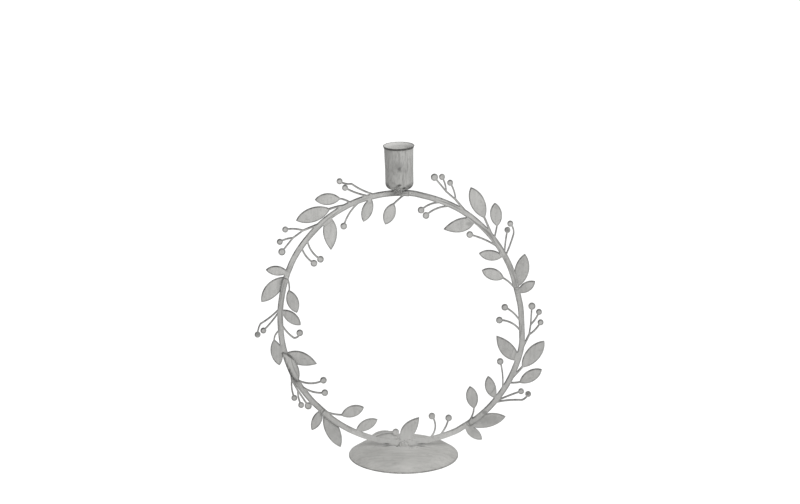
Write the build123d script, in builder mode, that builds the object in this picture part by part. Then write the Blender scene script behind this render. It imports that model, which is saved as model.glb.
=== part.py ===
"""Candle ring: a wreath of five sheet metal twigs on a pressed foot, with a candle cup on top.

Millimetres, +Z up, +X to the viewer's right, the viewer at -Y. The origin is the middle of the
foot's flat rim, on the table. The wreath stands in the XZ plane.
"""
import os
from math import cos, degrees, hypot, pi, radians, sin

from build123d import *

os.makedirs("parts", exist_ok=True)

# Wreath, measured along the middle of its strip
ring_width = 201.2
ring_height = 218.2
ring_side_step = 0.2            # how far the wreath stands to the left of the foot's middle
ring_lean = 7.2                 # degrees that the tall axis leans to the left
strip_width = 4.8
sheet = 1.5

# Foot: an upside down saucer
foot_diameter = 92.2
foot_height = 8.7
foot_sheet = 1.0
foot_seat_diameter = 24.0       # the flat in the middle that carries the wreath
foot_shoulder_diameter = 76.6
foot_shoulder_drop = 2.9
foot_crown_radius = 60.0
foot_shoulder_radius = 7.0
foot_rim_edge = 0.7

# Candle cup
cup_bore = 22.2
cup_wall = 0.5
cup_height = 36.5
cup_straight = 17.0             # height at which the straight wall starts to widen
cup_widening = 0.45
cup_lift = 1.3                  # the weld fills this between the strip and the cup
cup_bottom_radius = 5.0
cup_widening_radius = 60.0
cup_flare = 0.9
cup_flare_height = 2.4
cup_flare_radius = 3.0
cup_side_step = 0.9             # how far the cup stands to the right of the wreath's top
cup_lean = 1.2                  # degrees that the cup leans to the left

# Leaves, berries and stems
long_leaf_width = 12.2
bract_leaf_width = 11.7
end_leaf_width = 12.0
small_leaf_width = 9.9
side_leaf_width = 9.0
stub_leaf_width = 8.2
folded_leaf_width = 8.6
heel_depth = 1.2                # how far a leaf's pointed heel reaches into what carries it
leaf_rise = 7.0                 # degrees that the folded leaf stands off the strip
large_berry = 5.9
inner_berry = 5.5
small_berry = 4.9
stem_width = 1.3
trunk_width = 1.7

# Laps and welds
step_length = 6.0               # length over which a twig's end steps back behind the next root
step_before_joint = 5.5         # where the step is over, before the joint
lap_length = 5.5
bead_width = 8.0
bead_height = 4.2
bead_depth = 2.4
cup_bead_width = 6.8
cup_bead_length = 15.0
cup_bead_depth = 5.2
cup_bead_tilt = 50.0            # degrees that the cup's bead leans forward, up over the cup's edge
cup_bead_forward = 6.25
cup_bead_side_step = 1.5        # the cup's bead sits a little to the left
lap_bead_width = 3.8
lap_bead_height = 1.7
lap_bead_depth = 1.0
bead_round_share = 0.55         # of the bead's depth

# Where each twig starts, in degrees anticlockwise from +X
twig_names = ("twig_upper_right", "twig_lower_right", "twig_bottom", "twig_lower_left", "twig_upper_left")
twig_roots = (16.0, -58.0, -129.0, 159.5, 86.5)
weld_names = ("twig_weld_right", "twig_weld_lower_right", "twig_weld_lower_left", "twig_weld_left",
              "twig_weld_top")

# Places on a twig are given as degrees past its root and a share of the wreath's own reach.
# The five twigs come off one die, but each was bent by hand a little, so each has its own row.
# A row is where the stem leaves the strip, how it bows, and where its berry or leaf is.
# A stem's bow is a share of its length, positive to the left of the way it grows.
# A shoot that was cut away has None.
far_berry_shares = (
    (53.5, -0.13, (64.0, 0.885)),
    (55.2, -0.10, (64.9, 0.866)),
    (55.6, -0.08, (63.8, 0.885)),
    (52.2, -0.14, (65.8, 0.877)),
    (56.0, -0.10, (59.5, 0.836)))
near_berry_shares = (
    (49.8, -0.12, (61.0, 0.853)),
    (50.8, -0.15, (57.5, 0.815)),
    (50.6, -0.22, (56.0, 0.820)),
    (50.8, -0.15, (60.0, 0.819)),
    (51.5, -0.12, (55.5, 0.809)))
single_berry_shares = (
    (20.6, -0.05, (36.2, 0.888)),
    (21.2, -0.05, (34.0, 0.886)),
    (25.6, 0.06, (36.5, 0.915)),
    (21.7, -0.07, (28.5, 0.848)),
    (20.0, -0.09, (33.9, 0.868)))
front_berry_shares = (
    (16.8, 0.02, (25.3, 1.137)),
    (14.9, 0.02, (25.9, 1.148)),
    None,
    (15.6, 0.03, (25.4, 1.145)),
    (16.2, 0.05, (25.6, 1.128)))
rear_berry_shares = (
    (16.2, -0.02, (26.5, 1.187)),
    (14.6, 0.04, (26.4, 1.210)),
    None,
    (14.6, 0.04, (26.9, 1.197)),
    (13.9, 0.05, (26.5, 1.192)))
# Some stems have a kink: where it is, and how the stem bows past it
rear_kink_shares = (((22.3, 1.155), -0.12), ((23.0, 1.189), -0.12), None, ((22.4, 1.164), -0.06),
                    ((22.7, 1.137), 0.10))
single_kink_shares = (None, None, ((31.8, 0.926), 0.02), ((30.9, 0.902), -0.2), None)
# The outer cluster of three: where its trunk leaves the strip, its two forks, then the berries
cluster_shares = (
    (41.6, (50.4, 1.056), (55.3, 1.084)),
    (41.4, (50.8, 1.067), (55.6, 1.075)),
    None,
    (46.0, (50.6, 1.040), (56.5, 1.044)),
    (41.2, (49.9, 1.058), (55.2, 1.087)))
tip_berry_shares = ((61.3, 1.161), (64.0, 1.09), None, (64.9, 1.054), (62.8, 1.107))
mid_berry_shares = ((58.6, 1.181), (61.2, 1.145), None, (62.5, 1.094), (59.7, 1.16))
low_berry_shares = ((55.0, 1.16), (56.7, 1.156), None, (58.2, 1.103), (54.4, 1.176))
# Leaves on stems: the same root and bow, then where the leaf starts and where it points
long_leaf_shares = (
    (25.8, 0.0, (36.3, 1.072), (47.2, 1.200)),
    (26.2, 0.0, (36.0, 1.075), (49.0, 1.199)),
    None,
    None,
    (27.2, -0.04, (35.6, 1.044), (48.9, 1.152)))
small_leaf_shares = (
    (26.0, -0.02, (29.8, 1.099), (36.4, 1.213)),
    (26.2, -0.04, (29.3, 1.109), (37.6, 1.232)),
    None,
    (25.7, -0.15, (30.6, 1.069), (42.1, 1.082)),
    (25.7, -0.08, (29.6, 1.073), (38.0, 1.169)))
low_leaf_shares = (
    (0.5, -0.05, (7.2, 0.908), (16.4, 0.779)),
    (0.5, -0.08, (6.5, 0.926), (12.5, 0.781)),
    (1.4, -0.05, (8.7, 0.923), (17.1, 0.781)),
    (0.4, 0.07, (5.9, 0.946), (16.7, 0.861)),
    (2.3, -0.02, (7.2, 0.911), (12.4, 0.762)))
# Leaves that grow straight from the strip: where, how they bow, and where they point
bract_shares = (
    (38.7, 0.16, (49.7, 0.803)),
    (38.2, 0.16, (47.7, 0.800)),
    (39.8, 0.28, (49.1, 0.805)),
    (38.2, 0.08, (49.5, 0.792)),
    (37.5, 0.04, (47.4, 0.789)))
side_leaf_shares = (
    (17.4, 0.10, (25.5, 0.837)),
    (17.1, 0.20, (23.7, 0.850)),
    (18.4, 0.06, (26.4, 0.838)),
    (16.2, 0.0, (23.9, 0.832)),
    (17.0, 0.0, (23.7, 0.828)))
# The pair at a twig's end is placed from the next twig's root
end_leaf_shares = (
    None,
    (0.6, -0.10, (12.7, 1.153)),
    (-0.4, 0.03, (13.6, 1.168)),
    (1.7, 0.0, (14.8, 1.166)),
    (0.4, -0.12, (13.3, 1.159)))
stub_leaf_shares = (
    None,
    (-2.4, -0.06, (0.3, 1.153)),
    (-1.9, -0.06, (0.7, 1.180)),
    (-0.6, 0.06, (1.6, 1.182)),
    (-2.6, -0.06, (-0.3, 1.173)))
# The bottom twig's small leaf is folded back behind its own strip, clear of the foot
tucked_leaf_twig = 2
tucked_leaf_shares = ((25.9, 0.989), (37.6, 0.951))
# The lower left twig's long leaf is folded forward over its own strip
folded_leaf_twig = 3
folded_leaf_shares = (37.5, 0.43, (37.5, 1.022), (52.4, 0.993))

# A leaf's outline: where its two side curves are pulled to, as shares of its length and half width
heel_share = 0.25
shoulder_share = 0.76
bract_shoulder_share = 0.65
fullness_share = 1.33
fork_stem_bow_share = -0.06

# How the strip wanders off the true oval, as shares of its reach, from +X on round in equal steps
strip_reach_shares = (0.998, 0.990, 1.0, 1.003, 1.004, 0.999, 1.0, 0.996, 0.993, 0.991, 0.997, 0.996,
                      0.999, 1.006, 1.010, 1.002, 1.0, 0.998, 1.0, 1.0, 1.009, 1.014, 1.018, 1.020)

# The wreath's oval, its lowest and highest places, and its centre
half_width = ring_width / 2
half_height = ring_height / 2
lean = radians(ring_lean)
oval_rise = hypot(half_width * sin(lean), half_height * cos(lean))
oval_shift = (half_height**2 - half_width**2) * sin(lean) * cos(lean) / oval_rise
ring_x = -ring_side_step - oval_shift
ring_z = foot_height + strip_width / 2 + oval_rise
cup_x = ring_x - oval_shift + cup_side_step
cup_z = ring_z + oval_rise + strip_width / 2 + cup_lift
mean_reach = (half_width + half_height) / 2
pair_outward = strip_width / 4  # where the pair at a twig's end is rooted

cup_radius = cup_bore / 2 + cup_wall
cup_mouth_radius = cup_radius + cup_widening
cup_tilt = radians(cup_lean)
cup_plane = Plane(origin=(cup_x, 0, cup_z), x_dir=(cos(cup_tilt), 0, sin(cup_tilt)), z_dir=(0, -1, 0))
cup_axis = Axis((cup_x, 0, cup_z), (-sin(cup_tilt), 0, cos(cup_tilt)))

strip_steps = 12

# Depths of the two layers of sheet, the front one and the one that laps behind it
front_face = -sheet / 2
mid_face = sheet / 2
back_face = sheet + sheet / 2


def spot(bearing, reach=1.0, outward=0.0):
    """A place in the wreath's plane: a bearing, a share of the oval's reach, and a step outwards."""
    angle = radians(bearing)
    oval = half_width * half_height / hypot(half_height * cos(angle - lean), half_width * sin(angle - lean))
    distance = oval * reach + outward
    return Vector(ring_x + distance * cos(angle), ring_z + distance * sin(angle))


def strip_spot(bearing, outward=0.0):
    """A place on the strip: on its middle line, or a step outwards from it."""
    step = 360 / len(strip_reach_shares)
    before = int(bearing // step)
    low = strip_reach_shares[before % len(strip_reach_shares)]
    high = strip_reach_shares[(before + 1) % len(strip_reach_shares)]
    blend = (1 - cos((bearing / step - before) * pi)) / 2
    return spot(bearing, low + (high - low) * blend, outward)


def turn_of(length):
    """Degrees of the wreath that a length along its strip takes."""
    return degrees(length / mean_reach)


def add_strip(start, end):
    """The strip between two bearings."""
    stations = [start + (end - start) * step / strip_steps for step in range(strip_steps + 1)]
    outer = [strip_spot(bearing, strip_width / 2) for bearing in stations]
    inner = [strip_spot(bearing, -strip_width / 2) for bearing in stations]
    with BuildLine() as outline:
        Spline(*outer)
        Spline(*inner)
        Line(outer[0], inner[0])
        Line(outer[-1], inner[-1])
    make_face(outline.edges())


def add_leaf(base, tip, width, bow_share, shoulder=shoulder_share):
    """A pointed leaf from its base to its tip."""
    ahead = (tip - base).normalized()
    left = ahead.rotate(Axis.Z, 90)
    heel = base - ahead * heel_depth
    blade = tip - heel
    with BuildLine() as outline:
        for side in (1, -1):
            pull = left * (width / 2 * fullness_share * (side + bow_share))
            Bezier(heel, heel + blade * heel_share + pull, heel + blade * shoulder + pull, tip)
    make_face(outline.edges())


def add_stem(start, end, bow_share, width=stem_width):
    """A stem that bows to the left of its way by a share of its length."""
    chord = end - start
    with BuildLine() as path:
        if bow_share:
            ThreePointArc(start, start + chord / 2 + chord.rotate(Axis.Z, 90) * bow_share, end)
        else:
            Line(start, end)
    trace(path.edges(), line_width=width)


def add_berry(place, diameter):
    """A flat round berry."""
    with Locations(place):
        Circle(diameter / 2)


def add_berry_stem(root, row, diameter, kink=None):
    """A stem with its berry, the stem in two arcs with a rounded kink if it has one."""
    turn, bow_share, place = row
    start = strip_spot(root + turn)
    berry = spot(root + place[0], place[1])
    if kink:
        bend = spot(root + kink[0][0], kink[0][1])
        add_stem(start, bend, bow_share)
        add_berry(bend, stem_width)
        add_stem(bend, berry, kink[1])
    else:
        add_stem(start, berry, bow_share)
    add_berry(berry, diameter)


def add_leaf_stem(root, row, leaf_width, width=stem_width, outward=0.0):
    """A stem with its leaf."""
    turn, bow_share, base, tip = row
    base = spot(root + base[0], base[1])
    add_stem(strip_spot(root + turn, outward), base, bow_share, width)
    add_leaf(base, spot(root + tip[0], tip[1]), leaf_width, 0.0)


def add_strip_leaf(root, row, width, outward=0.0, shoulder=shoulder_share):
    """A leaf that grows straight from the strip."""
    turn, bow_share, tip = row
    add_leaf(strip_spot(root + turn, outward), spot(root + tip[0], tip[1]), width, bow_share, shoulder)


def add_inner_shoots(root, number):
    """The shoots inside the wreath."""
    add_berry_stem(root, far_berry_shares[number], inner_berry)
    add_berry_stem(root, near_berry_shares[number], inner_berry)
    add_berry_stem(root, single_berry_shares[number], inner_berry, single_kink_shares[number])
    add_strip_leaf(root, bract_shares[number], bract_leaf_width, shoulder=bract_shoulder_share)
    add_strip_leaf(root, side_leaf_shares[number], side_leaf_width, -strip_width / 2)
    add_leaf_stem(root, low_leaf_shares[number], small_leaf_width, outward=(stem_width - strip_width) / 2)


def add_outer_shoots(root, number):
    """The shoots outside the wreath."""
    add_berry_stem(root, front_berry_shares[number], small_berry)
    add_berry_stem(root, rear_berry_shares[number], small_berry, rear_kink_shares[number])
    add_leaf_stem(root, small_leaf_shares[number], small_leaf_width)
    if long_leaf_shares[number]:
        add_leaf_stem(root, long_leaf_shares[number], long_leaf_width, trunk_width)
    turn, low, high = cluster_shares[number]
    low_fork = spot(root + low[0], low[1])
    high_fork = spot(root + high[0], high[1])
    add_stem(strip_spot(root + turn), low_fork, 0.0, trunk_width)
    add_stem(low_fork, high_fork, 0.0)
    for fork, shares, size, bow_share in ((high_fork, tip_berry_shares, large_berry, 0.0),
                                          (high_fork, mid_berry_shares, small_berry, fork_stem_bow_share),
                                          (low_fork, low_berry_shares, small_berry, fork_stem_bow_share)):
        berry = spot(root + shares[number][0], shares[number][1])
        add_stem(fork, berry, bow_share)
        add_berry(berry, size)


def add_cup_wall():
    """The cup's outer wall, from the middle of its bottom to its rim."""
    return FilletPolyline((0, 0), (cup_radius, 0), (cup_radius, cup_straight),
                          (cup_mouth_radius, cup_height - cup_flare_height),
                          (cup_mouth_radius + cup_flare, cup_height),
                          radius=[cup_bottom_radius, cup_widening_radius, cup_flare_radius])


def layer_plane(depth):
    """A sketch plane that faces the viewer, at a depth behind the wreath's middle."""
    return Plane(origin=(0, depth, 0), x_dir=(1, 0, 0), z_dir=(0, -1, 0))


def section_plane(bearing, depth):
    """A plane across the strip at a bearing, its x outwards and its y towards the viewer."""
    place = strip_spot(bearing)
    angle = radians(bearing)
    return Plane(origin=(place.X, depth, place.Y), x_dir=(cos(angle), 0, sin(angle)),
                 z_dir=(-sin(angle), 0, cos(angle)))


def make_twig(number):
    """One twig: a strip with its shoots, whose end steps back behind the next twig's root."""
    root = twig_roots[number]
    joint = twig_roots[number - 1]
    while joint < root:
        joint += 360
    back_start = joint - turn_of(step_before_joint)
    step_start = back_start - turn_of(step_length)
    with BuildPart() as twig:
        with BuildSketch(layer_plane(mid_face)):
            add_strip(root, step_start)
            add_inner_shoots(root, number)
            if cluster_shares[number]:
                add_outer_shoots(root, number)
        extrude(amount=sheet)
        with BuildSketch(section_plane(step_start, 0)):
            Rectangle(strip_width, sheet)
        with BuildSketch(section_plane(back_start, sheet)):
            Rectangle(strip_width, sheet)
        loft(ruled=True)
        with BuildSketch(layer_plane(back_face)):
            add_strip(back_start, joint + turn_of(lap_length))
            if end_leaf_shares[number]:
                add_strip_leaf(joint, end_leaf_shares[number], end_leaf_width, pair_outward)
                add_strip_leaf(joint, stub_leaf_shares[number], stub_leaf_width, pair_outward)
            if number == tucked_leaf_twig:
                base, tip = (spot(root + turn, reach) for turn, reach in tucked_leaf_shares)
                add_leaf(base, tip, small_leaf_width, 0.0)
        extrude(amount=sheet)
        if number == folded_leaf_twig:
            turn, bow_share, base, tip = folded_leaf_shares
            base = spot(root + base[0], base[1])
            blade = spot(root + tip[0], tip[1]) - base
            ahead = blade.normalized()
            rise = sin(radians(leaf_rise))
            run = cos(radians(leaf_rise))
            along = Vector(ahead.X * run, -rise, ahead.Y * run)
            out = Vector(-ahead.X * rise, -run, -ahead.Y * rise)
            heel = (base.X, front_face + sheet / 2, base.Y)
            with BuildSketch(Plane(origin=heel, x_dir=along, z_dir=out)):
                add_leaf(Vector(0, 0), Vector(blade.length / run, 0), folded_leaf_width, bow_share)
            extrude(amount=sheet)
    twig.part.label = twig_names[number]
    return twig.part


def make_bead(name, place, width, height, depth):
    """A weld bead: half an oval on its plane, with a rounded front."""
    with BuildPart() as bead:
        with BuildSketch(place):
            Ellipse(width / 2, height)
            Rectangle(width, height, align=(Align.CENTER, Align.MIN), mode=Mode.INTERSECT)
        extrude(amount=depth)
        rim = bead.edges().filter_by(GeomType.ELLIPSE).sort_by(SortBy.DISTANCE, reverse=True)
        front = [edge for edge in rim if place.to_local_coords(edge.center()).Z > depth / 2]
        fillet(front, radius=depth * bead_round_share)
    bead.part.label = name
    return bead.part


# Foot
with BuildPart() as foot:
    with BuildSketch(Plane.XZ) as foot_section:
        shoulder = Vector(foot_shoulder_diameter / 2, foot_height - foot_shoulder_drop)
        rim = Vector(foot_diameter / 2, foot_rim_edge)
        below = rim + (rim - shoulder)
        with BuildLine():
            FilletPolyline((0, foot_height), (foot_seat_diameter / 2, foot_height), shoulder, below,
                           radius=[foot_crown_radius, foot_shoulder_radius])
            offset(amount=foot_sheet, side=Side.RIGHT)
        make_face()
        Rectangle(foot_diameter / 2, foot_height, align=(Align.MIN, Align.MIN), mode=Mode.INTERSECT)
    revolve(axis=Axis.Z)
foot.part.label = "foot"
export_step(foot.part, "parts/foot.step")

# Candle cup
with BuildPart() as candle_cup:
    with BuildSketch(cup_plane):
        with BuildLine():
            add_cup_wall()
            offset(amount=cup_wall, side=Side.LEFT)
        make_face()
    revolve(axis=cup_axis)
candle_cup.part.label = "candle_cup"
export_step(candle_cup.part, "parts/candle_cup.step")

# Five twigs
for number, name in enumerate(twig_names):
    export_step(make_twig(number), f"parts/{name}.step")

# The cup's bead joins the strip's front to the cup's rounded edge
with BuildPart() as bead:
    Sphere(cup_bead_width / 2)
    scale(by=(1, cup_bead_depth / cup_bead_width, cup_bead_length / cup_bead_width))
with BuildPart() as cup_weld:
    with Locations((cup_x - cup_bead_side_step, -cup_bead_forward, cup_z)):
        add(bead.part, rotation=(cup_bead_tilt, 0, 0))
    split(bisect_by=layer_plane(front_face), keep=Keep.TOP)
    with BuildSketch(cup_plane):
        with BuildLine():
            wall = add_cup_wall()
            Polyline((0, 0), (0, cup_height), wall @ 1)
        make_face()
    revolve(axis=cup_axis, mode=Mode.SUBTRACT)
cup_weld.part.label = "cup_weld"
export_step(cup_weld.part, "parts/cup_weld.step")

# The foot's beads stand on the foot, in front of the strip and behind it
front_place = Plane(origin=(0, front_face, foot_height), x_dir=(1, 0, 0), z_dir=(0, -1, 0))
back_place = Plane(origin=(0, mid_face, foot_height), x_dir=(-1, 0, 0), z_dir=(0, 1, 0))
for name, place in (("foot_weld_front", front_place), ("foot_weld_back", back_place)):
    export_step(make_bead(name, place, bead_width, bead_height, bead_depth), f"parts/{name}.step")

# A bead at each lap, in the corner where a twig's root ends on the sheet behind it
for name, joint in zip(weld_names, twig_roots):
    middle = strip_spot(joint)
    angle = radians(joint)
    inward = (-cos(angle), 0, -sin(angle))
    place = Plane(origin=(middle.X, mid_face, middle.Y), x_dir=inward, z_dir=(0, -1, 0))
    lap_bead = make_bead(name, place, lap_bead_width, lap_bead_height, lap_bead_depth)
    export_step(lap_bead, f"parts/{name}.step")
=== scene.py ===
"""Candle ring: a wreath of painted sheet metal twigs on a pressed foot, with a candle cup on top."""

import bpy
from math import radians
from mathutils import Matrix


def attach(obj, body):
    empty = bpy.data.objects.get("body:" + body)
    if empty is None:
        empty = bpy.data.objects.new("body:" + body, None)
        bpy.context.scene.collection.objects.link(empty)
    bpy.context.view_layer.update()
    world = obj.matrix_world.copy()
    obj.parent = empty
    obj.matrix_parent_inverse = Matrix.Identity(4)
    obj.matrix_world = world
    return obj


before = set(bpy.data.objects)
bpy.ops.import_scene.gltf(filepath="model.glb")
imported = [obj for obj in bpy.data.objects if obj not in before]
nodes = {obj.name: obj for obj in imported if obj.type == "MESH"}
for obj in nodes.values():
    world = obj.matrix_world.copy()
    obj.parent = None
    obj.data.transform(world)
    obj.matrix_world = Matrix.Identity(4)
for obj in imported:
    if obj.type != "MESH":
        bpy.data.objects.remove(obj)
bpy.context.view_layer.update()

# Foot
# One disc of sheet steel, pressed into an upside down saucer with a turned down flank. Like the whole
# part it is brushed with a thin grey white paint over dark metal, here from side to side.
MM = 0.001
PAINT = (0.452, 0.450, 0.436, 1.0)
FOOT_PAINT = (0.425, 0.421, 0.404, 1.0)
UNDER = (0.062, 0.061, 0.058, 1.0)
# A lighter paint: thicker paint inside the cup, lighter paint low on the twigs, and painted light on the
# foot's middle
THICK_PAINT_AND_LIGHT = (0.60, 0.598, 0.585, 1.0)


def feed(tree, node, inputs):
    """Sets each named input of a node to its value, or links it to an output."""
    for socket, value in inputs.items():
        if isinstance(value, bpy.types.NodeSocket):
            tree.links.new(value, node.inputs[socket])
        else:
            node.inputs[socket].default_value = value


def add_node(tree, kind, inputs, **settings):
    """A new node with its settings and its inputs."""
    node = tree.nodes.new(kind)
    for setting, value in settings.items():
        setattr(node, setting, value)
    feed(tree, node, inputs)
    return node


def new_group(name, inputs, outputs):
    """A shader node group with named sockets: the group, what comes in, and its end node."""
    group = bpy.data.node_groups.new(name, "ShaderNodeTree")
    for label, kind, value in inputs:
        socket = group.interface.new_socket(label, in_out="INPUT", socket_type="NodeSocket" + kind)
        if value is not None:
            socket.default_value = value
    for label, kind in outputs:
        group.interface.new_socket(label, in_out="OUTPUT", socket_type="NodeSocket" + kind)
    return group, group.nodes.new("NodeGroupInput").outputs, group.nodes.new("NodeGroupOutput")


def add_group(tree, group, inputs):
    """One of the shared effects, placed in a material."""
    return add_node(tree, "ShaderNodeGroup", inputs, node_tree=group).outputs


def add_noise(tree, vector, scale, detail=3.0, roughness=0.55):
    """A noise texture on a vector. The scale is in turns to the vector's unit."""
    return add_node(tree, "ShaderNodeTexNoise", {"Vector": vector, "Scale": scale, "Detail": detail,
                                                 "Roughness": roughness}).outputs["Fac"]


def add_range(tree, value, low, high, to_low=0.0, to_high=1.0):
    """A value taken from one range to another, smoothly and clamped."""
    return add_node(tree, "ShaderNodeMapRange",
                    {"Value": value, "From Min": low, "From Max": high, "To Min": to_low, "To Max": to_high},
                    interpolation_type="SMOOTHSTEP").outputs["Result"]


def add_math(tree, operation, *values):
    """One sum on numbers."""
    return add_node(tree, "ShaderNodeMath", dict(enumerate(values)), operation=operation).outputs[0]


def add_vector(tree, operation, *values):
    """One sum on vectors. A length and a dot product come out as a number."""
    outputs = add_node(tree, "ShaderNodeVectorMath", dict(enumerate(values)), operation=operation).outputs
    return outputs["Value"] if operation in ("LENGTH", "DOT_PRODUCT") else outputs["Vector"]


def add_mix(tree, factor, first, second):
    """Two colours mixed by a factor."""
    return add_node(tree, "ShaderNodeMix", {"Factor": factor, "A": first, "B": second},
                    data_type="RGBA").outputs["Result"]


# Brushed wash: strokes that the material stretches, soft blotches, small mottling and a fine grain. Each
# has its noise's scale to the metre, detail and perhaps roughness. Then come the levels of the noise at
# which it starts and is full, and its share of the whole.
COARSE_STROKES, COARSE_LEVELS, COARSE_SHARE = (420.0, 4.0), (0.42, 0.72), 0.65
FINE_STROKES, FINE_LEVELS, FINE_SHARE = (1300.0, 2.0), (0.45, 0.75), 0.45
BLOTCHES, BLOTCH_LEVELS, BLOTCH_SHADES = (45.0, 3.0), (0.3, 0.7), (0.93, 1.07)
MOTTLING, MOTTLE_LEVELS = (230.0, 5.0, 0.6), (0.5, 0.72)
GRAIN, GRAIN_HEIGHT = (2600.0, 2.0), 0.35
PAINT_ROUGHNESS, BARE_ROUGHNESS = 0.62, 0.46
wash, wash_in, wash_end = new_group(
    "brushed wash",
    (("Strokes", "Vector", None), ("Object", "Vector", None), ("Paint", "Color", PAINT),
     ("Under", "Color", UNDER), ("Streaks", "Float", 0.3), ("Mottle", "Float", 0.3), ("Wear", "Float", 0.0)),
    (("Color", "Color"), ("Roughness", "Float"), ("Height", "Float")))
coarse = add_range(wash, add_noise(wash, wash_in["Strokes"], *COARSE_STROKES), *COARSE_LEVELS)
fine = add_range(wash, add_noise(wash, wash_in["Strokes"], *FINE_STROKES), *FINE_LEVELS)
thin = add_math(wash, "ADD", add_math(wash, "MULTIPLY", coarse, COARSE_SHARE),
                add_math(wash, "MULTIPLY", fine, FINE_SHARE))
mottle = add_range(wash, add_noise(wash, wash_in["Object"], *MOTTLING), *MOTTLE_LEVELS)
thin = add_math(wash, "MAXIMUM", add_math(wash, "MULTIPLY", thin, wash_in["Streaks"]),
                add_math(wash, "MULTIPLY", mottle, wash_in["Mottle"]))
worn = add_math(wash, "MAXIMUM", thin, wash_in["Wear"])
shade = add_range(wash, add_noise(wash, wash_in["Object"], *BLOTCHES), *BLOTCH_LEVELS, *BLOTCH_SHADES)
tint = add_node(wash, "ShaderNodeHueSaturation", {"Color": wash_in["Paint"], "Value": shade})
grain = add_math(wash, "MULTIPLY", add_noise(wash, wash_in["Object"], *GRAIN), GRAIN_HEIGHT)
feed(wash, wash_end, {"Color": add_mix(wash, worn, tint.outputs["Color"], wash_in["Under"]),
                      "Roughness": add_range(wash, worn, 0.0, 1.0, PAINT_ROUGHNESS, BARE_ROUGHNESS),
                      "Height": add_math(wash, "SUBTRACT", grain, worn)})

# Worn edge: where the surface turns a corner the paint is rubbed off in patches. It is darkest on the edges
# that face up and to the left, which on the left-facing edges is painted shade on the side away from the
# light. Its second output is the corner's softened normal.
CORNER_LEVELS = (0.9998, 0.982)
WORN_AND_SHADED_SIDE, WORN_AND_SHADED_LEVELS = (-0.62, 0.0, 0.78), (-0.25, 0.3)
EDGE_PATCHES, EDGE_PATCH_LEVELS, EDGE_PATCH_SHARES = (200.0, 4.0), (0.35, 0.6), (0.5, 1.0)
edge, edge_in, edge_end = new_group(
    "worn edge",
    (("Object", "Vector", None), ("Reach", "Float", 0.4 * MM), ("Round", "Float", 0.25 * MM),
     ("Amount", "Float", 1.0), ("Least", "Float", 0.4)),
    (("Mask", "Float"), ("Normal", "Vector")))
corner = add_node(edge, "ShaderNodeBevel", {"Radius": edge_in["Reach"]}, samples=8).outputs["Normal"]
plain = edge.nodes.new("ShaderNodeNewGeometry").outputs["Normal"]
bend = add_range(edge, add_vector(edge, "DOT_PRODUCT", corner, plain), *CORNER_LEVELS)
# Wear and painted shade: edges that face up and to the left are darkened more
side = add_range(edge, add_vector(edge, "DOT_PRODUCT", corner, WORN_AND_SHADED_SIDE), *WORN_AND_SHADED_LEVELS)
side = add_math(edge, "MAXIMUM", side, edge_in["Least"])
patchy = add_range(edge, add_noise(edge, edge_in["Object"], *EDGE_PATCHES), *EDGE_PATCH_LEVELS,
                   *EDGE_PATCH_SHARES)
mask = add_math(edge, "MULTIPLY", add_math(edge, "MULTIPLY", bend, patchy), side)
soft = add_node(edge, "ShaderNodeBevel", {"Radius": edge_in["Round"]}, samples=4).outputs["Normal"]
feed(edge, edge_end, {"Mask": add_math(edge, "MULTIPLY", mask, edge_in["Amount"]), "Normal": soft})

# Dark marks: each darkens the paint round a middle, strongest there. Most are painted shade in corners,
# in gaps, at laps and under the cup; the rest are darker patches of paint.
MARK_BREAKS, MARK_BREAK_SHARE = (420.0, 4.0), 0.9
MARK_LEVELS = (1.45, 0.55)
shade_and_dark_patch, shade_patch_in, shade_patch_end = new_group(
    "shade_and_dark_patch",
    (("Object", "Vector", None), ("Middle", "Vector", None), ("Spread", "Vector", None),
     ("Amount", "Float", 0.7)),
    (("Mask", "Float"),))
away = add_vector(shade_and_dark_patch, "SUBTRACT", shade_patch_in["Object"], shade_patch_in["Middle"])
reach = add_vector(shade_and_dark_patch, "LENGTH", add_vector(shade_and_dark_patch, "DIVIDE", away, shade_patch_in["Spread"]))
ragged = add_math(shade_and_dark_patch, "MULTIPLY", add_noise(shade_and_dark_patch, shade_patch_in["Object"], *MARK_BREAKS), MARK_BREAK_SHARE)
strength = add_range(shade_and_dark_patch, add_math(shade_and_dark_patch, "ADD", reach, ragged), *MARK_LEVELS)
feed(shade_and_dark_patch, shade_patch_end, {"Mask": add_math(shade_and_dark_patch, "MULTIPLY", strength, shade_patch_in["Amount"])})

SHINE = 0.35
RELIEF, RELIEF_STRENGTH = 0.06 * MM, 0.5
THICK_AND_LIT_STREAK_SHARE = 0.25
HEALED_WEAR = 0.12


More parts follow.
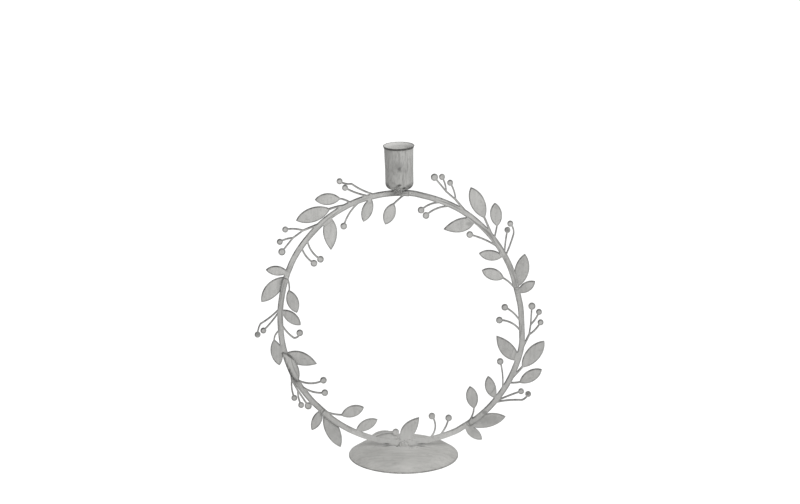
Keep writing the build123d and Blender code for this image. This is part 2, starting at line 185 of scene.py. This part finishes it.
def painted(name, paint=PAINT, strokes=(1.0, 1.0, 1.0), turn=0.0, streaks=0.35, mottle=0.4, reach=0.5,
            rubbed=0.6, least=0.4, marks=(), extra_wear=None, thick_paint_and_light=None, healed=None):
    """A brushed paint finish. The strokes run along the axis with the smallest number, and the turn, in
    degrees, only gives them another part of the same pattern. Reach is how far in millimetres an edge is
    worn, rubbed how much, and least the share darkened on edges that face down and to the right. Each dark
    mark, of painted shade or of darker paint, has a middle and a spread in millimetres, and a strength."""
    material = bpy.data.materials.new(name)
    material.use_nodes = True
    tree = material.node_tree
    place = tree.nodes.new("ShaderNodeTexCoord").outputs
    brushed = add_node(tree, "ShaderNodeMapping",
                       {"Vector": place["Object"], "Rotation": (0.0, radians(turn), 0.0), "Scale": strokes})
    edges = add_group(tree, edge, {"Object": place["Object"], "Reach": reach * MM, "Amount": rubbed,
                                   "Least": least})
    colours = {"Paint": paint, "Streaks": streaks, "Mottle": mottle}
    # The lighter colour, with fewer streaks, where the paint is thicker and where light is painted on
    if thick_paint_and_light:
        thick_and_lit = thick_paint_and_light(tree, place)
        colours = {"Paint": add_mix(tree, thick_and_lit, paint, THICK_PAINT_AND_LIGHT),
                   "Streaks": add_range(tree, thick_and_lit, 0.0, 1.0, streaks, streaks * THICK_AND_LIT_STREAK_SHARE),
                   "Mottle": add_range(tree, thick_and_lit, 0.0, 1.0, mottle, mottle * THICK_AND_LIT_STREAK_SHARE)}
    wear = edges["Mask"]
    if extra_wear:
        wear = add_math(tree, "MAXIMUM", wear, extra_wear(tree, place))
    if healed:
        filled = add_group(tree, healed, {"Object": place["Object"]})["Mask"]
        wear = add_math(tree, "MULTIPLY", wear, add_range(tree, filled, 0.0, 1.0, 1.0, HEALED_WEAR))
    # Each dark mark, painted shade or darker paint, darkens the paint like wear
    for middle, spread, amount in marks:
        mark = add_group(tree, shade_and_dark_patch, {"Object": place["Object"], "Middle": [part * MM for part in middle],
                                      "Spread": [part * MM for part in spread], "Amount": amount})
        wear = add_math(tree, "MAXIMUM", wear, mark["Mask"])
    coat = add_group(tree, wash, {"Strokes": brushed.outputs["Vector"], "Object": place["Object"],
                                  "Under": UNDER, "Wear": wear, **colours})
    bump = add_node(tree, "ShaderNodeBump", {"Strength": RELIEF_STRENGTH, "Distance": RELIEF,
                                             "Height": coat["Height"], "Normal": edges["Normal"]})
    feed(tree, tree.nodes["Principled BSDF"],
         {"Specular IOR Level": SHINE, "Base Color": coat["Color"], "Roughness": coat["Roughness"],
          "Normal": bump.outputs["Normal"]})
    return material


def finish_node(name, material):
    """Gives a CAD piece its finish."""
    for slot in nodes[name].material_slots:
        slot.material = material


# Painted shade: dark corners in the gaps at both ends of the strip's seat, round the bead, and faintly in
# front of it
FOOT_PAINTED_SHADE = (((-14.4, -1.2, 9.0), (6.5, 1.9, 4.0), 0.9),
              ((14.7, -1.2, 9.0), (7.0, 1.9, 4.0), 0.9),
              ((7.0, -3.6, 9.0), (4.0, 2.0, 3.0), 0.7),
              ((-5.4, -3.0, 9.0), (1.8, 2.0, 3.0), 0.95),
              ((-1.0, -27.0, 5.0), (16.0, 4.0, 5.0), 0.25))
# Painted light on the foot's middle: how far it reaches, its shape, and its share of the lighter paint
DISH_REACH, DISH_SHAPE, FOOT_LIGHT_SHARE = 30.0 * MM, (1.0, 1.5, 0.0), 0.8


def painted_light_on_foot(tree, place):
    """A painted pool of light on the foot's middle, which lightens the paint where the strip's shadow falls.
    """
    out = add_vector(tree, "LENGTH", add_vector(tree, "MULTIPLY", place["Object"], DISH_SHAPE))
    return add_range(tree, out, DISH_REACH, 0.0, 0.0, FOOT_LIGHT_SHARE)


finish_node("foot", painted("foot paint", FOOT_PAINT, strokes=(0.10, 1.0, 1.0), streaks=0.26, mottle=0.22,
                            reach=1.6, rubbed=0.8, least=1.0, marks=FOOT_PAINTED_SHADE, thick_paint_and_light=painted_light_on_foot))

# Five twigs
# Each is cut from one sheet: a curved strip with its leaves, and berries on thin stems. The cut sides
# hardly hold the paint, so they stay dark. The twigs are welded end to end.

# Cut side: a side that was cut faces sideways, up or down, and not to the front or the back
CUT_LEVELS, CUT_WEAR = (0.75, 0.45), 0.68
cut, cut_in, cut_end = new_group("cut side", (("Normal", "Vector", None),), (("Mask", "Float"),))
forwards = add_node(cut, "ShaderNodeSeparateXYZ", {"Vector": cut_in["Normal"]}).outputs["Y"]
feed(cut, cut_end,
     {"Mask": add_range(cut, add_math(cut, "ABSOLUTE", forwards), *CUT_LEVELS, 0.0, CUT_WEAR)})

# Strip shade: painted shade as dark streaks that run along the strip, round the wreath, for the strip's
# shading. A point's share of the way from the wreath's middle to its line says whether the point lies on
# the strip.
WREATH_MIDDLE = (-2.234 * MM, 0.0, 120.07 * MM)
WREATH_HALF_WIDTH = 100.6 * MM
WREATH_HALF_HEIGHT = 109.1 * MM
WREATH_LEAN = radians(7.2)
STRIP_INSIDE, STRIP_OUTSIDE = (0.945, 0.953), (1.022, 1.008)
STREAK_WIDTH = 1.3 * MM
STREAK_LENGTH = 26.0 * MM
STREAK_NOISE, STREAK_LEVELS = (1.0, 2.0), (0.46, 0.66)
strip, strip_in, strip_end = new_group(
    "strip shade streaks", (("Object", "Vector", None), ("Amount", "Float", 0.5)), (("Mask", "Float"),))
upright = add_node(strip, "ShaderNodeVectorRotate", {"Vector": strip_in["Object"], "Center": WREATH_MIDDLE,
                                                     "Angle": -WREATH_LEAN}, rotation_type="Y_AXIS")
arm = add_vector(strip, "SUBTRACT", upright.outputs["Vector"], WREATH_MIDDLE)
share = add_vector(strip, "LENGTH", add_vector(strip, "MULTIPLY", arm, (1.0 / WREATH_HALF_WIDTH, 0.0,
                                                                       1.0 / WREATH_HALF_HEIGHT)))
parts = add_node(strip, "ShaderNodeSeparateXYZ", {"Vector": arm}).outputs
along = add_node(strip, "ShaderNodeCombineXYZ",
                 {"X": add_math(strip, "MULTIPLY", share, WREATH_HALF_WIDTH / STREAK_WIDTH),
                  "Y": add_math(strip, "DIVIDE", parts["X"], STREAK_LENGTH),
                  "Z": add_math(strip, "DIVIDE", parts["Z"], STREAK_LENGTH)}).outputs["Vector"]
shade_streak = add_range(strip, add_noise(strip, along, *STREAK_NOISE), *STREAK_LEVELS)
band = add_math(strip, "MULTIPLY", add_range(strip, share, *STRIP_INSIDE),
                add_range(strip, share, *STRIP_OUTSIDE))
shade_streak = add_math(strip, "MULTIPLY", shade_streak, band)
feed(strip, strip_end, {"Mask": add_math(strip, "MULTIPLY", shade_streak, strip_in["Amount"])})

# Paint pool: over the foot, at the lowest part of the wreath, the paint is lighter and its edges are less
# worn
POOL_HEIGHTS = (15.0 * MM, 27.0 * MM)
POOL_HALF_WIDTHS = (42.0 * MM, 52.0 * MM)
POOL_THICK = 0.4
pool, pool_in, pool_end = new_group("paint pool", (("Object", "Vector", None),), (("Mask", "Float"),))
parts = add_node(pool, "ShaderNodeSeparateXYZ", {"Vector": pool_in["Object"]}).outputs
low = add_range(pool, parts["Z"], *POOL_HEIGHTS, 1.0, 0.0)
near = add_range(pool, add_math(pool, "ABSOLUTE", parts["X"]), *POOL_HALF_WIDTHS, 1.0, 0.0)
feed(pool, pool_end, {"Mask": add_math(pool, "MULTIPLY", low, near)})


def twig_wear_and_strip_shade(amount):
    """The wear of a twig's cut sides, and the painted shade of its strip's streaks by the amount."""
    def wear(tree, place):
        sides = add_group(tree, cut, {"Normal": place["Normal"]})["Mask"]
        # Painted shade in streaks along the strip
        streaks = add_group(tree, strip, {"Object": place["Object"], "Amount": amount})["Mask"]
        return add_math(tree, "MAXIMUM", sides, streaks)
    return wear


def pooled(tree, place):
    """The share of lighter paint on a twig."""
    return add_math(tree, "MULTIPLY", add_group(tree, pool, {"Object": place["Object"]})["Mask"], POOL_THICK)


def thinned(share):
    """The twigs' paint, diluted to a share of its lightness."""
    return tuple(part * share for part in PAINT[:3]) + (1.0,)


# Each twig was brushed by hand: how light its paint came out, how far its edges are rubbed, how strong the
# painted shade in its strip's streaks is, and its dark marks: painted shade at the laps, along the strip,
# under the cup, under the folded leaf and in the gaps at the seat on the foot, and darker paint on some
# berries and leaves
# Painted shade on the strip under the cup's bottom
SHADE_UNDER_CUP = ((-3.0, 0.0, 229.6), (7.0, 6.0, 4.4), 0.5)
BERRY = (3.6, 4.0, 3.6)
TWIGS = {
    "twig_upper_right": (0.92, 0.9, 0.55, (
        SHADE_UNDER_CUP,
        ((54.8, -1.0, 202.8), (6.0, 6.0, 3.0), 0.4), ((71.5, -1.0, 184.7), (4.0, 6.0, 7.0), 0.5),
        ((84.0, -1.0, 170.1), (3.2, 6.0, 9.0), 0.5), ((92.5, -1.0, 151.0), (3.2, 6.0, 8.0), 0.4),
        ((85.8, -1.0, 197.3), BERRY, 0.62))),
    "twig_lower_right": (0.82, 0.85, 0.4, (
        ((104.0, -1.0, 54.8), BERRY, 0.75), ((94.2, -1.0, 147.6), (4.0, 6.0, 4.5), 0.5),
        ((68.1, -1.0, 38.2), (4.0, 6.0, 3.0), 0.5))),
    "twig_bottom": (0.94, 0.7, 0.3, (
        ((-14.4, -2.0, 10.3), (6.5, 3.0, 1.2), 0.95), ((14.7, -2.0, 10.3), (7.0, 3.0, 1.2), 0.95),
        ((-20.0, 0.0, 17.8), (7.0, 6.0, 2.5), 0.2), ((59.7, -1.0, 29.8), (5.0, 6.0, 3.5), 0.5),
        ((73.6, -1.0, 31.6), (26.0, 8.0, 11.0), 0.42), ((60.0, -1.0, 21.0), (12.0, 8.0, 9.0), 0.26))),
    "twig_lower_left": (0.87, 0.95, 0.45, (
        # A painted shadow line where the folded leaf stands off the strip
        ((-99.6, -2.0, 83.6), (2.4, 5.0, 5.5), 0.85), ((-97.9, -2.0, 79.3), (2.6, 5.0, 5.5), 1.0),
        ((-95.9, -2.0, 75.2), (2.8, 5.0, 5.2), 1.0), ((-93.9, -2.0, 71.6), (3.2, 5.0, 4.6), 1.0),
        ((-91.4, -2.0, 68.6), (3.8, 5.0, 3.6), 1.0), ((-88.5, -2.0, 66.6), (4.0, 5.0, 2.8), 1.0),
        ((-121.5, -1.0, 107.2), BERRY, 0.55), ((-59.5, -1.0, 21.0), (14.0, 8.0, 18.0), 0.24))),
    "twig_upper_left": (0.97, 0.95, 0.4, (
        SHADE_UNDER_CUP,
        ((-101.2, -1.0, 152.3), (5.0, 6.0, 5.0), 0.45), ((-97.0, -1.0, 165.0), (2.5, 6.0, 9.0), 0.4)))}
for name, (lightness, rubbed, streaks, marks) in TWIGS.items():
    finish_node(name, painted(name + " paint", thinned(lightness), strokes=(1.0, 1.0, 0.14), turn=20.0,
                              streaks=0.24, mottle=0.26, reach=2.1, rubbed=rubbed, least=0.65, marks=marks,
                              extra_wear=twig_wear_and_strip_shade(streaks), thick_paint_and_light=pooled,
                              healed=pool if name == "twig_bottom" else None))

# Candle cup
# A deep drawn steel cup with a rounded bottom and a rim flared a little, which takes a slim candle.
# Its paint is brushed up and down, and the rim's edge is worn dark. Its bottom and lower corners are
# painted darker as shade under the cup, and its front has two darker patches of paint.
CUP_PAINT = (0.375, 0.373, 0.360, 1.0)
# Painted shade under the cup's bottom and at its lower corners, then two darker patches of paint on its
# front
CUP_SHADE_AND_PATCHES = (((-3.4, 0.0, 231.0), (17.5, 17.5, 7.0), 0.9),
             ((-14.0, -3.0, 235.6), (6.5, 13.0, 5.2), 0.98),
             ((6.5, -6.0, 235.4), (10.5, 13.0, 5.6), 0.98),
             ((-4.6, -11.5, 254.0), (8.0, 6.0, 8.0), 0.42),
             ((-3.6, -11.0, 252.0), (3.5, 4.0, 4.5), 0.75))
# A painted crescent of shadow between the weld and the cup's bottom
CRESCENT_SHADOW = (((-3.8, -11.0, 238.4), (3.6, 5.0, 1.8), 0.98),
            ((0.3, -10.0, 235.6), (3.4, 5.0, 2.1), 0.98),
            ((3.8, -9.0, 234.3), (3.8, 5.0, 1.9), 0.95))
CUP_FOOT = (-3.368 * MM, 0.0, 232.744 * MM)
CUP_AXIS = (-0.020942, 0.0, 0.999781)
WALL_SIDES = (-1.0 * MM, 2.0 * MM)
RIM_HEIGHTS = (34.4 * MM, 35.3 * MM)
RIM_PATCHES, RIM_PATCH_LEVELS, RIM_PATCH_SHARES = (340.0, 3.0), (0.25, 0.5), (0.75, 1.0)


def outside(tree, place):
    """The arm from the cup's foot to the surface, and a mask that is 1 on the cup's outside and 0 on its
    inside, by whether the surface faces along that arm."""
    arm = add_vector(tree, "SUBTRACT", place["Object"], CUP_FOOT)
    outward = add_vector(tree, "MULTIPLY", arm, (1.0, 1.0, 0.0))
    facing = add_vector(tree, "DOT_PRODUCT", outward, place["Normal"])
    return arm, add_range(tree, facing, *WALL_SIDES)


def inside(tree, place):
    """The cup's inside, where the paint lies thick because nothing rubs it."""
    return add_math(tree, "SUBTRACT", 1.0, outside(tree, place)[1])


def dark_rim(tree, place):
    """Wear on the outside of the cup's flared rim, where a candle is pushed in and pulled out."""
    arm, outer = outside(tree, place)
    up = add_vector(tree, "DOT_PRODUCT", arm, CUP_AXIS)
    band = add_math(tree, "MULTIPLY", add_range(tree, up, *RIM_HEIGHTS), outer)
    patches = add_range(tree, add_noise(tree, place["Object"], *RIM_PATCHES), *RIM_PATCH_LEVELS,
                        *RIM_PATCH_SHARES)
    return add_math(tree, "MULTIPLY", band, patches)


finish_node("candle_cup", painted("cup paint", CUP_PAINT, strokes=(2.1, 2.1, 0.22), streaks=0.62,
                                  mottle=0.42, reach=0.8, rubbed=0.95, least=1.0,
                                  marks=CUP_SHADE_AND_PATCHES + CRESCENT_SHADOW, extra_wear=dark_rim, thick_paint_and_light=inside))

# Welds
# Two beads on the foot, one under the cup, and one at each lap of two twigs, all painted over. Drops and
# lumps of weld metal stuck on and near them.
CUP_WELD_PAINT = (0.21, 0.208, 0.200, 1.0)
# Painted shade on the left side of the weld under the cup, away from the light
CUP_WELD_SHADE = ((-9.0, -4.0, 231.0), (4.0, 9.0, 5.0), 0.85)
weld_paint = painted("weld paint")
for name in nodes:
    if "weld" in name and name != "cup_weld":
        finish_node(name, weld_paint)
finish_node("cup_weld", painted("cup weld paint", CUP_WELD_PAINT, streaks=0.5, mottle=0.5, rubbed=0.8,
                                marks=(CUP_WELD_SHADE,) + CRESCENT_SHADOW))

DROP_FLATNESS = (1.0, 1.0, 0.6)
DROP_SIZES = (0.45, 1.0)


def new_spatter_tree():
    """Drops of molten metal that stuck to a surface within a spread round a middle."""
    tree = bpy.data.node_groups.new("weld spatter", "GeometryNodeTree")
    tree.is_modifier = True
    for label, kind in (("Geometry", "Geometry"), ("Middle", "Vector"), ("Spread", "Vector"),
                        ("Density", "Float"), ("Drop Radius", "Float"), ("Seed", "Int"),
                        ("Finish", "Material")):
        tree.interface.new_socket(label, in_out="INPUT", socket_type="NodeSocket" + kind)
    tree.interface.new_socket("Geometry", in_out="OUTPUT", socket_type="NodeSocketGeometry")
    start = tree.nodes.new("NodeGroupInput").outputs
    scatter = add_node(tree, "GeometryNodeDistributePointsOnFaces",
                       {"Mesh": start["Geometry"], "Density": start["Density"],
                        "Seed": start["Seed"]}).outputs
    spot = tree.nodes.new("GeometryNodeInputPosition").outputs[0]
    away = add_vector(tree, "SUBTRACT", spot, start["Middle"])
    reach = add_vector(tree, "LENGTH", add_vector(tree, "DIVIDE", away, start["Spread"]))
    near = add_node(tree, "FunctionNodeCompare", {"A": reach, "B": 1.0}, operation="LESS_THAN").outputs[0]
    kept = add_node(tree, "GeometryNodeSeparateGeometry",
                    {"Geometry": scatter["Points"], "Selection": near}).outputs["Selection"]
    ball = add_node(tree, "GeometryNodeMeshIcoSphere",
                    {"Subdivisions": 2, "Radius": start["Drop Radius"]}).outputs["Mesh"]
    drop = add_node(tree, "GeometryNodeTransform", {"Geometry": ball, "Scale": DROP_FLATNESS}).outputs[0]
    size = add_node(tree, "FunctionNodeRandomValue",
                    {2: DROP_SIZES[0], 3: DROP_SIZES[1], "Seed": start["Seed"]}).outputs[1]
    drops = add_node(tree, "GeometryNodeInstanceOnPoints",
                     {"Points": kept, "Instance": drop, "Rotation": scatter["Rotation"],
                      "Scale": size}).outputs[0]
    for kind in ("GeometryNodeRealizeInstances", "GeometryNodeSetShadeSmooth"):
        drops = add_node(tree, kind, {"Geometry": drops}).outputs[0]
    drops = add_node(tree, "GeometryNodeSetMaterial", {"Geometry": drops, "Material": start["Finish"]})
    feed(tree, tree.nodes.new("NodeGroupOutput"), {"Geometry": drops.outputs[0]})
    return tree


spatter_tree = new_spatter_tree()


def add_spatter(label, node, middle, spread, density, radius, seed):
    """Grows the drops on one CAD piece and keeps them as a plain mesh, if there are any. The middle, the
    spread and the radius are in millimetres, and the density is in drops to the square millimetre."""
    carrier = bpy.data.objects.new(label, nodes[node].data.copy())
    bpy.context.collection.objects.link(carrier)
    modifier = carrier.modifiers.new("weld spatter", "NODES")
    modifier.node_group = spatter_tree
    values = {"Middle": [part * MM for part in middle], "Spread": [part * MM for part in spread],
              "Density": density / MM ** 2, "Drop Radius": radius * MM, "Seed": seed, "Finish": weld_paint}
    for socket in spatter_tree.interface.items_tree:
        if socket.name in values:
            modifier[socket.identifier] = values[socket.name]
    grown = bpy.data.meshes.new_from_object(carrier.evaluated_get(bpy.context.evaluated_depsgraph_get()))
    bpy.data.objects.remove(carrier)
    if not len(grown.polygons):
        return
    piece = bpy.data.objects.new(label, grown)
    bpy.context.collection.objects.link(piece)
    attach(piece, "root")


SPATTER = (("spatter_on_foot", "foot", (3.0, -4.0, 9.0), (11.0, 5.0, 3.4), 0.10, 0.42),
           ("spatter_on_bottom_twig", "twig_bottom", (4.0, -1.5, 12.0), (9.0, 2.0, 2.6), 0.16, 0.34),
           ("spatter_on_cup", "candle_cup", (-3.0, -9.0, 235.5), (8.0, 6.0, 3.2), 0.10, 0.32))
WHOLE_BEAD = (20.0, 20.0, 20.0)
LUMP_DENSITY, LUMP_RADIUS, FIRST_LUMP_SEED = 0.35, 0.55, 11
for seed, row in enumerate(SPATTER, start=1):
    add_spatter(*row, seed)
for seed, name in enumerate(sorted(name for name in nodes if "weld" in name), start=FIRST_LUMP_SEED):
    corners = nodes[name].bound_box
    middle = [sum(corner[axis] for corner in corners) / len(corners) / MM for axis in range(3)]
    add_spatter("lumps_on_" + name, name, middle, WHOLE_BEAD, LUMP_DENSITY, LUMP_RADIUS, seed)

# Floor, light and camera
# A pale floor under a plain white surround, with soft light from the front and the right. The camera
# sees both as white, while the wreath is lit by a pale grey floor and a weaker surround.
FLOOR_HALF = 6.0
FLOOR_GREY, SEEN_GREY, SEEN_GLOW = (0.8, 0.8, 0.8, 1.0), (0.35, 0.35, 0.35, 1.0), 0.80
ROOM_LIGHT = 0.62
WHITE = (1.0, 1.0, 1.0, 1.0)
floor_mesh = bpy.data.meshes.new("floor")
floor_mesh.from_pydata([(-FLOOR_HALF, -FLOOR_HALF, 0), (FLOOR_HALF, -FLOOR_HALF, 0),
                        (FLOOR_HALF, FLOOR_HALF, 0), (-FLOOR_HALF, FLOOR_HALF, 0)], [], [(0, 1, 2, 3)])
floor = bpy.data.objects.new("floor", floor_mesh)
bpy.context.collection.objects.link(floor)
floor_finish = bpy.data.materials.new("floor")
floor_finish.use_nodes = True
tree = floor_finish.node_tree
tree.nodes.remove(tree.nodes["Principled BSDF"])
matt = add_node(tree, "ShaderNodeBsdfDiffuse", {"Color": FLOOR_GREY})
seen = add_node(tree, "ShaderNodeBsdfDiffuse", {"Color": SEEN_GREY})
glow = add_node(tree, "ShaderNodeEmission", {"Strength": SEEN_GLOW})
both = add_node(tree, "ShaderNodeAddShader", {0: seen.outputs[0], 1: glow.outputs[0]})
rays = tree.nodes.new("ShaderNodeLightPath").outputs
choice = add_node(tree, "ShaderNodeMixShader",
                  {0: rays["Is Camera Ray"], 1: matt.outputs[0], 2: both.outputs[0]})
feed(tree, tree.nodes["Material Output"], {"Surface": choice.outputs[0]})
floor_mesh.materials.append(floor_finish)

world = bpy.data.worlds.new("studio")
bpy.context.scene.world = world
world.use_nodes = True
tree = world.node_tree
room = tree.nodes["Background"]
feed(tree, room, {"Color": WHITE, "Strength": ROOM_LIGHT})
surround = add_node(tree, "ShaderNodeBackground", {"Color": WHITE})
rays = tree.nodes.new("ShaderNodeLightPath").outputs
white = add_math(tree, "MAXIMUM", rays["Is Camera Ray"], rays["Is Transmission Ray"])
choice = add_node(tree, "ShaderNodeMixShader", {0: white, 1: room.outputs[0], 2: surround.outputs[0]})
feed(tree, tree.nodes["World Output"], {"Surface": choice.outputs[0]})


def add_lamp(name, place, tilt, turn, size, energy):
    """A soft square lamp, with its tilt and turn in degrees."""
    light = bpy.data.lights.new(name, "AREA")
    light.size = size
    light.energy = energy
    lamp = bpy.data.objects.new(name, light)
    lamp.location = place
    lamp.rotation_euler = (radians(tilt), 0.0, radians(turn))
    bpy.context.collection.objects.link(lamp)


add_lamp("key", place=(0.75, -1.35, 1.35), tilt=53, turn=29, size=1.0, energy=24.0)
add_lamp("back fill", place=(-1.1, 1.7, 1.3), tilt=-58, turn=33, size=1.4, energy=9.0)

camera_data = bpy.data.cameras.new("camera")
camera_data.sensor_width = 36.0
camera_data.lens = 132.75
camera_data.clip_end = 50.0
camera = bpy.data.objects.new("camera", camera_data)
camera.location = (-0.0030, -2.34835, 0.85401)
camera.rotation_euler = (radians(73.95), 0.0, 0.0)
bpy.context.collection.objects.link(camera)
bpy.context.scene.camera = camera
bpy.context.scene.view_settings.view_transform = "Standard"
